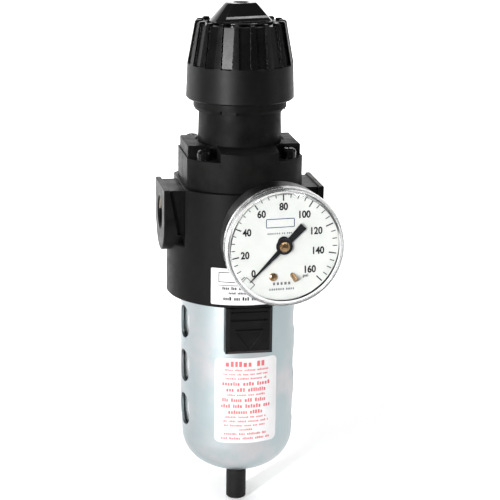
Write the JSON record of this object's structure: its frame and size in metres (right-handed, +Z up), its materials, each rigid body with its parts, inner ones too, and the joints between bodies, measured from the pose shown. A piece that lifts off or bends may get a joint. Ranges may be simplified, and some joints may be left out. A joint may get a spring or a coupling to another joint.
{
  "type": "air pressure regulator",
  "caption": "Compressed-air filter-regulator with a fluted locking knob, ported body, front dial gauge, clear bowl in a slotted steel guard with latch, and a bottom drain tube.",
  "frame": {"origin": "centre of the inlet port where its threaded wall starts, 0.8 mm inside the port face", "axes": "+Z up along the main axis, towards the knob; +X from the inlet port to the outlet port; the gauge faces -Y"},
  "size_m": [0.0768, 0.1145, 0.2482],
  "materials": {
    "knob_plastic": "satin moulded",
    "cap_plastic": "gloss moulded",
    "bonnet_plastic": "satin, glass filled",
    "body_paint": "satin black paint on a die casting",
    "screw_black": "gloss black oxide",
    "steel": "zinc plated",
    "spring_steel": "drawn wire",
    "brass": "machined",
    "rubber": "matte",
    "valve_plastic": "matte moulded",
    "filter_media": "sintered",
    "clear_bowl": "clear moulded",
    "guard_zinc": "bright zinc plate, slightly iridescent",
    "latch_plastic": "semi-gloss moulded",
    "drain_plastic": "matte moulded",
    "case_black": "satin black",
    "dial_white": "white, printed",
    "clear_lens": "clear, polished",
    "pointer_black": "matte black",
    "bronze": "bright turned",
    "label_white": "printed film"
  },
  "bodies": {
    "body": {"body_casting": "body_paint", "bonnet": "bonnet_plastic", "bonnet_screws": "screw_black", "lock_ring": "bonnet_plastic", "thrust_washer": "steel", "range_spring": "spring_steel", "diaphragm": "rubber", "rear_port_plug": "steel", "valve_seat": "brass", "valve_spring": "spring_steel", "valve_cage": "valve_plastic", "air_deflector": "valve_plastic", "filter_element": "filter_media", "filter_baffle": "valve_plastic", "gauge_stem": "brass", "gauge_case": "case_black", "gauge_dial": "dial_white", "gauge_lens": "clear_lens", "dial_screw": "bronze", "stop_pin": "bronze", "bourdon_tube": "brass", "gauge_movement": "brass", "body_label": "label_white"},
    "adjusting_screw": {"adjusting_screw": "steel", "retaining_clip": "spring_steel"},
    "knob": {"adjusting_knob": "knob_plastic", "knob_cap": "cap_plastic"},
    "spring_nut": {"spring_nut": "brass"},
    "diaphragm_plates": {"spring_plate": "steel", "relief_seat": "brass"},
    "valve": {"valve_stem": "brass", "valve_facing": "rubber"},
    "gauge_pointer": {"pointer": "pointer_black", "pointer_hub": "bronze"},
    "bowl_assembly": {"bowl": "clear_bowl", "bowl_seal": "rubber", "bowl_guard": "guard_zinc", "latch_rail": "steel", "latch_spring": "spring_steel", "guard_label": "label_white"},
    "latch": {"latch": "latch_plastic"},
    "drain_plunger": {"drain_plunger": "brass", "drain_seal": "rubber"},
    "drain_stem": {"drain_stem": "drain_plastic"}
  },
  "joints": [
    {"name": "knob_turn", "type": "hinge", "parent": "body", "child": "adjusting_screw", "pos_m": [0.0376, 0, 0.07], "axis": [0, 0, -1], "range_deg": [0, 2160]},
    {"name": "knob_lock", "type": "slide", "parent": "adjusting_screw", "child": "knob", "axis": [0, 0, -1], "range_m": [0, 0.0035]},
    {"name": "nut_travel", "type": "slide", "parent": "body", "child": "spring_nut", "axis": [0, 0, -1], "range_m": [0, 0.0105], "deforming": ["range_spring"]},
    {"name": "diaphragm_travel", "type": "slide", "parent": "body", "child": "diaphragm_plates", "axis": [0, 0, -1], "range_m": [0, 0.0015], "deforming": ["diaphragm"]},
    {"name": "valve_travel", "type": "slide", "parent": "body", "child": "valve", "axis": [0, 0, -1], "range_m": [0, 0.0015], "deforming": ["valve_spring"]},
    {"name": "pointer_sweep", "type": "hinge", "parent": "body", "child": "gauge_pointer", "pos_m": [0.0452, -0.0729, 0.0006], "axis": [0, 1, 0], "range_deg": [0, 270], "stiffness_Nm_per_rad": 0.002, "springref_deg": -2.86},
    {"name": "bowl_turn", "type": "hinge", "parent": "body", "child": "bowl_assembly", "pos_m": [0.0376, 0, -0.035], "axis": [0, 0, 1], "range_deg": [0, 45]},
    {"name": "latch_slide", "type": "slide", "parent": "bowl_assembly", "child": "latch", "axis": [0, 0, -1], "range_m": [0, 0.0035], "stiffness_N_per_m": 300, "springref_m": -0.002, "deforming": ["latch_spring"]},
    {"name": "drain_lift", "type": "slide", "parent": "bowl_assembly", "child": "drain_plunger", "axis": [0, 0, 1], "range_m": [0, 0.0008]},
    {"name": "drain_turn", "type": "hinge", "parent": "drain_plunger", "child": "drain_stem", "pos_m": [0.0376, 0, -0.14], "axis": [0, 0, 1], "range_deg": [0, 180]}
  ],
  "couplings": [
    {"joint": "knob_turn", "follows": "nut_travel", "rad_per_m": 3590.4},
    {"joint": "diaphragm_travel", "follows": "nut_travel", "ratio": 0.14286},
    {"joint": "valve_travel", "follows": "nut_travel", "ratio": 0.14286},
    {"joint": "drain_turn", "follows": "drain_lift", "rad_per_m": 3927}
  ]
}
